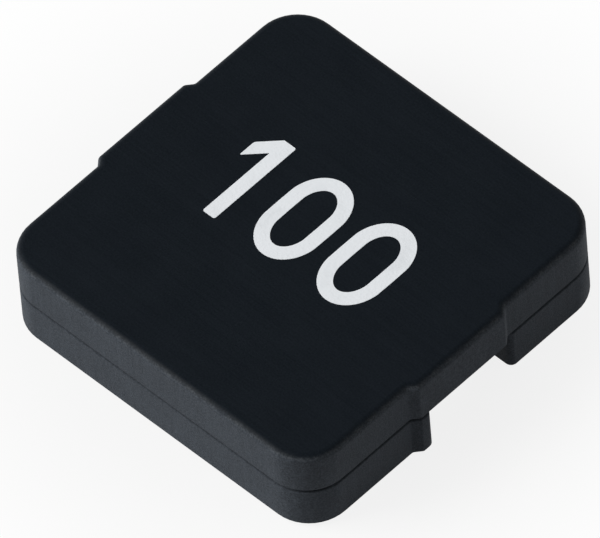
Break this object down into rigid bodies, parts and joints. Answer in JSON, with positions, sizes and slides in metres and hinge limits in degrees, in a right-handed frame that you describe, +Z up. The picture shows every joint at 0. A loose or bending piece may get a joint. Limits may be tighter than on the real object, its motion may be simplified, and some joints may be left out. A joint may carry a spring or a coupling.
{
  "type": "shielded smd inductor",
  "caption": "Low square surface-mount power inductor: black ferrite halves closed around an edgewise flat-wire winding, with solder pads under two notched ends.",
  "frame": {"origin": "on the board plane (the underside of the solder pads), under the middle of the body", "axes": "+Z up out of the board; +X towards the terminal side that holds the start of the winding; +Y towards a plain side"},
  "size_m": [0.0104, 0.01, 0.0026],
  "materials": {
    "upper_ferrite": "black sintered ferrite, ground top, matt grainy sides",
    "lower_ferrite": "black sintered ferrite, matt and grainy",
    "enamelled_copper": "copper under clear amber enamel",
    "tinned_copper": "satin tin plating on copper",
    "gap_film": "amber polyimide film",
    "epoxy": "cured black epoxy"
  },
  "bodies": {
    "root": {"upper_core": "upper_ferrite", "lower_core": "lower_ferrite", "winding": "enamelled_copper", "start_terminal": "tinned_copper", "finish_terminal": "tinned_copper", "gap_spacer": "gap_film", "front_glue_line": "epoxy", "back_glue_line": "epoxy"}
  },
  "joints": []
}
